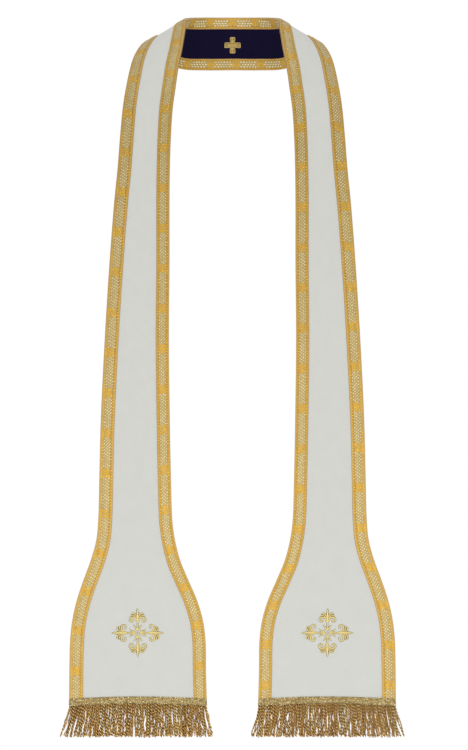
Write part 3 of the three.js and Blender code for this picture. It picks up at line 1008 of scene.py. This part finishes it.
# One arm of the cross, as strokes of satin stitch: points (out from the centre, to one side) and
# the stroke's half width at each. A stroke with both=True is also worked on the arm's other side.
# One with the bed flag is a low stroke in a dark colour: a painted shadow between the leaves.
ARM_STROKES = (
    {
        "path": ((20, 1.6), (25, 3.0), (28.8, 5.4), (30, 8.0), (29.6, 10.2)),
        "wide": (0.9, 2.1, 3.1, 2.6, 0.8),
        "both": True,
        "shadow_bed": True,
    },
    {"path": ((3.4, 0), (6.5, 0), (10, 0), (17, 0), (25, 0)), "wide": (0.9, 1.6, 1.2, 1.2, 2.0)},
    {"path": ((22, 0), (28, 0), (33, 0), (38, 0), (42, 0)), "wide": (1.2, 1.9, 1.9, 1.3, 0.3)},
    {
        "path": (
            (17, 0.8), (22, 2.4), (25.4, 5), (26.6, 8.8), (24.8, 12.2), (21.4, 12.8),
            (19.2, 10.2), (20.2, 7.8), (22.6, 8.2),
        ),
        "wide": (0.4, 0.9, 1.2, 1.3, 1.3, 1.2, 1.1, 1.0, 0.4),
        "both": True,
    },
    {
        "path": ((20.5, 1.2), (25.1, 2.9), (28.6, 5.6), (29.6, 9.2), (27.8, 12.2)),
        "wide": (0.4, 0.8, 1.0, 1.0, 0.25),
        "both": True,
    },
    {
        "path": ((24, 1), (28.6, 2.4), (31.9, 4.8), (32.8, 8.2), (31.4, 11.0)),
        "wide": (0.4, 0.9, 1.3, 1.1, 0.25),
        "both": True,
    },
    {
        "path": ((3.8, 0.8), (6.6, 2.2), (10, 3.4), (13.8, 7)),
        "wide": (0.7, 1.4, 1.1, 0.3),
        "both": True,
    },
    {"path": ((0.9, 0), (2.0, 0), (3.0, 0)), "wide": (0.3, 0.8, 0.3)},
)


def satin_stroke(
    piece, place, path, wide, cell, cells,
    base=SATIN_BASE, high=SATIN_HIGH, colours=(SATIN, SATIN_DARK), slant=0.3,
):
    """One stroke of satin stitch: ribs of thread, slanted or straight, over a domed base."""
    fine = smooth_curve(path, STROKE_STEPS)
    length = running_length(fine)
    rows = max(7, 2 * round(length[-1] / STITCH) + 1)
    at, line = evenly(fine, rows)
    half = np.interp(at, length[::STROKE_STEPS], wide)[:, None]
    tangent = unit(np.gradient(line, axis=0))
    normal = np.stack([-tangent[:, 1], tangent[:, 0]], -1)
    s = np.linspace(-1, 1, SATIN_COLUMNS)
    offset = (half * s)[..., None]
    upper = line[:, None] + offset * (normal + slant * tangent)[:, None]
    rib = np.where(np.arange(rows) % 2, 1.0, 0.72)[:, None]
    dome = np.sqrt(1 - 0.96 * s**2) * np.minimum(1, 0.45 + 0.4 * half) * rib * high
    lift = np.hstack([base + dome, np.full((rows, SATIN_COLUMNS), base - 0.08)])
    spots = np.concatenate([upper, upper[:, ::-1]], axis=1)
    rings = place(spots, lift)
    light, dark = (np.array(colour_of(c)) for c in colours)
    # Painted highlight along the crown and painted shade down the edges and underside.
    shade = np.hstack([1 - np.abs(s) ** 1.2, np.zeros(SATIN_COLUMNS)])[None, :, None]
    # Painted highlight on the raised ribs and painted shade on the lower ones between.
    tint = blend(dark, light, shade) * np.where(np.arange(rows) % 2, 1.08, 0.74)[:, None, None]
    around = np.concatenate([s * 2, [2.2], 2.2 + (2 - s[::-1] * 2) * 0.1])
    low, size = cell_of(cell, cells)
    sweep(piece, rings[:, ::-1], at, around[::-1], tint[:, ::-1].reshape(-1, 3), low, (size, size))


def turned_by(spots, quarter):
    """Spots turned by so many quarter turns."""
    angle = quarter * math.pi / 2
    out, aside = spots[..., 0], spots[..., 1]
    along = math.cos(angle) * out - math.sin(angle) * aside
    across = math.sin(angle) * out + math.cos(angle) * aside
    return np.stack([along, across], -1)


def embroidered_cross(name, side, node):
    """A cross whose arms end in a point between leaves and scrolls."""
    piece = Piece(name, [satin_yarn])
    middle = on_strip(ROWS, 0.5, 0.0)
    down = ROWS > 0
    distance = np.interp(CROSS_DROP, -middle[down, 2], ROWS[down]) * side
    width = np.interp(distance, ROWS, WIDTHS)
    strokes = []
    for quarter in range(4):
        stretch = (CROSS_ARM_ACROSS if quarter % 2 else CROSS_ARM_ALONG) / CROSS_ARM_ACROSS
        for stroke in ARM_STROKES:
            for hand in (1, -1) if stroke.get("both") else (1,):
                path = np.array(stroke["path"]) * (stretch, hand)
                strokes.append((turned_by(path, quarter), stroke["wide"], "shadow_bed" in stroke))

    def place(spots, lift):
        return on_strip(distance + spots[..., 0], 0.5 + spots[..., 1] / width, lift)

    for k, (path, wide, shadow_bed) in enumerate(strokes):
        # A bed stroke keeps its width, lies low and takes the painted shadow's colour.
        wide = np.array(wide) * (1 if shadow_bed else FULLNESS)
        look = {"high": BED_HIGH, "colours": (BED_SHADOW, BED_SHADOW)} if shadow_bed else {}
        satin_stroke(piece, place, path, wide, k, len(strokes), **look)
    return placed(piece, node)


NECK_CROSS_DOWN = 45.2  # from the neck edge, a little below the CAD's
GREEK_HALF = ((3.6, 3.6), (11.6, 4.1), (12.4, 3.9), (13, 3.1))  # half an arm: out, to one side
GREEK_BAR = ((-12.4, 0), (-8, 0), (0, 0), (8, 0), (12.4, 0))  # the fill: a bar and two stubs
GREEK_STUB = ((3.2, 0), (6, 0), (9, 0), (12.4, 0))
GREEK_MARK = ((8.2, 0.3), (9.6, 1.1), (11, 1.9))
GREEK_CELLS = 20  # cells of the bake's layout: fills first, then the marks, then the cord
MARK_CELL = 4
CORD_CELL = 12
CORD_RADIUS = 0.55
CORD_BASE = 1.55
CORD_ROWS = 181


def greek_outline():
    """The small cross's outline, anticlockwise, with each arm's corners rounded."""
    half = np.array(GREEK_HALF)
    arm = np.vstack([half[1:] * (1, -1), half[:0:-1]])
    notch = half[:1]
    quarters = [np.vstack([turned_by(arm, q), turned_by(notch, q)]) for q in range(4)]
    return np.vstack(quarters)


def neck_cross(name, node):
    """A small Greek cross on the purple face at the nape, filled in satin stitch and corded."""
    piece = Piece(name, [satin_yarn])
    width = np.interp(0, ROWS, WIDTHS)
    centre = NECK_CROSS_DOWN / width

    def place(spots, lift):
        return on_strip(-spots[..., 0], centre + spots[..., 1] / width, -lift)

    def stroke(path, wide, cell, **look):
        satin_stroke(piece, place, path, wide, cell, GREEK_CELLS, **look)

    fill = {"high": 0.62, "colours": (CROSS_GOLD, CROSS_SHADE), "slant": 0}
    stroke(GREEK_BAR, (3.9, 3.8, 3.5, 3.8, 3.9), 0, **fill)
    for quarter in (1, 3):
        stub = turned_by(np.array(GREEK_STUB), quarter)
        stroke(stub, (3.6, 3.7, 3.8, 3.9), quarter, **fill)
    mark_look = {"base": CORD_BASE, "high": 0.4, "colours": (CROSS_MARK, CROSS_MARK)}
    for quarter in range(4):
        for k, hand in enumerate((1, -1)):
            mark = turned_by(np.array(GREEK_MARK) * (1, hand), quarter)
            stroke(mark, (0.25, 0.55, 0.25), MARK_CELL + 2 * quarter + k, **mark_look)
    outline = greek_outline()
    closed = np.vstack([outline, outline[:1]])
    at, line = evenly(closed, CORD_ROWS)
    path = place(line, np.full(len(line), CORD_BASE))
    out = path - place(line * 0.9, np.full(len(line), CORD_BASE))
    rings = tube_rings(path, out, CORD_RADIUS, 6)
    # Painted highlight and painted shade on alternate turns of the cord's twist.
    ribs = np.where(np.arange(len(at)) % 2, 1.1, 0.75)[:, None, None]
    tint = np.broadcast_to(np.array(colour_of(RIM_GOLD)) * ribs, rings.shape).reshape(-1, 3)
    low, size = cell_of(CORD_CELL, GREEK_CELLS)
    sweep(piece, rings, at, np.arange(7) * 0.6, tint, low, (size, size), stacks=4)
    return placed(piece, node)


# ---------------- the stage
CAMERA_AT = (0.0024, -4.115, -0.5876)
LENS = 120
SENSOR = 36
FLOOR_Z = -1.45
FLOOR_RADIUS = 1.5


def floor():
    shader = Shader("floor_paint", Roughness=0.9)
    place = shader.node("TexCoord").outputs["Object"]
    grain = shader.noise(place, 0.2, 2.0)
    tone = shader.shade(colour_of((248, 248, 248)), grain, 0.985, 1.0)
    material = shader.finish(tone, 0.9, grain, 0.2)
    mesh = bpy.data.meshes.new("floor")
    angles = np.linspace(0, 2 * math.pi, 97)[:-1]
    rim = [(FLOOR_RADIUS * math.cos(a), FLOOR_RADIUS * math.sin(a), FLOOR_Z) for a in angles]
    mesh.from_pydata(rim, [], [list(range(len(rim)))])
    mesh.materials.append(material)
    thing = bpy.data.objects.new("floor", mesh)
    bpy.context.scene.collection.objects.link(thing)


def lamp(name, place, target, size, power):
    data = bpy.data.lights.new(name, "AREA")
    data.shape = "DISK"
    data.size = size
    data.energy = power
    thing = bpy.data.objects.new(name, data)
    bpy.context.scene.collection.objects.link(thing)
    thing.location = place
    thing.rotation_euler = (Vector(target) - Vector(place)).to_track_quat("-Z", "Y").to_euler()


def studio():
    world = bpy.data.worlds.new("studio")
    bpy.context.scene.world = world
    world.use_nodes = True
    backdrop = world.node_tree.nodes["Background"]
    backdrop.inputs["Color"].default_value = (1, 1, 1, 1)
    backdrop.inputs["Strength"].default_value = 1.0
    lamp("key", (0, -2.2, -1.1), (0, 0, -1.05), 0.9, 14)
    lamp("top", (0, -0.7, 1.5), (0, -0.03, -0.03), 0.8, 6)
    lamp("back", (0, 2.4, 0.6), (0, 0, -0.5), 1.2, 10)
    bpy.context.scene.view_settings.view_transform = "Standard"
    camera = bpy.data.objects.new("camera", bpy.data.cameras.new("camera"))
    bpy.context.scene.collection.objects.link(camera)
    camera.location = CAMERA_AT
    camera.rotation_euler = (math.pi / 2, 0, 0)
    camera.data.lens = LENS
    camera.data.sensor_width = SENSOR
    camera.data.clip_end = 50
    bpy.context.scene.camera = camera


# ---------------- the stole
studio()
floor()

WHITE_REPEAT = 64.4  # the braids' repeats and half the length of their nodes
WHITE_NODE = 7.2
PURPLE_NODE = 7.0
PURPLE_WIDE = 18.6
# The stole's edges: word, whether at the shoulder, the white face's braid's width, the purple
# one's repeat and where one of its nodes lies, and what the edge adds to the braids' seeds.
EDGES = (
    ("inner", False, 20.2, 38.8, 0.0, 0),
    ("outer", True, 21.4, 42.0, 5.7, 1),
)

white_trims = []
purple_trims = []
for edge, outer, wide, repeat, node_at, key in EDGES:
    white_name, purple_name = "white_galloon_" + edge, "purple_galloon_" + edge
    white_trims += galloon(
        white_name, outer, 1, WHITE_STYLE, wide, WHITE_REPEAT, WHITE_NODE, None, 11 + key
    )
    purple_trims += galloon(
        purple_name, outer, -1, PURPLE_STYLE, PURPLE_WIDE, repeat, PURPLE_NODE, node_at, 21 + key
    )
for side, word in ((-1, "left"), (1, "right")):
    white_trims.append(heading("fringe_heading_" + word, side, "heading_" + word, 31 + side))
    white_trims.append(fringe("fringe_strands_" + word, side, "fringe_" + word, 41 + side))
    white_trims.append(embroidered_cross("cross_embroidery_" + word, side, "cross_" + word))
purple_trims.append(neck_cross("neck_cross_embroidery", "neck_cross"))

white = panel("white_cloth", "white_panel", 1, white_cloth)
purple = panel("purple_cloth", "purple_panel", -1, purple_cloth)
